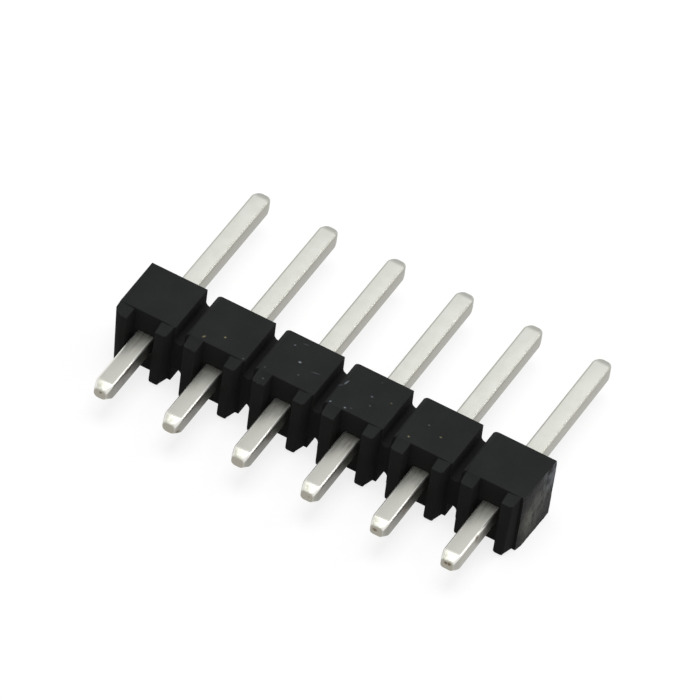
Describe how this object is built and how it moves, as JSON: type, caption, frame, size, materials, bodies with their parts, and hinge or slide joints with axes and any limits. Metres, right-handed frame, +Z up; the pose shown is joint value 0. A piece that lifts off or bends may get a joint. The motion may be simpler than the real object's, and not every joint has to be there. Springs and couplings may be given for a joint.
{
  "type": "pin header strip",
  "caption": "Straight single-row pin header: a black moulded strip of square cells with break-off notches, with long posts on one side and short solder tails on the other.",
  "frame": {"origin": "on the surface that the part lies on, under the centre of its bounding box", "axes": "+X along the row, from the moulded end to the cut end; +Y along the pins, towards the long posts; +Z up"},
  "size_m": [0.015, 0.0104, 0.0025],
  "materials": {
    "housing": "matte black moulded plastic with fine grain",
    "pin": "satin tin plate over brass"
  },
  "bodies": {
    "root": {"housing": "housing", "pin_1": "pin", "pin_2": "pin", "pin_3": "pin", "pin_4": "pin", "pin_5": "pin", "pin_6": "pin"}
  },
  "joints": []
}
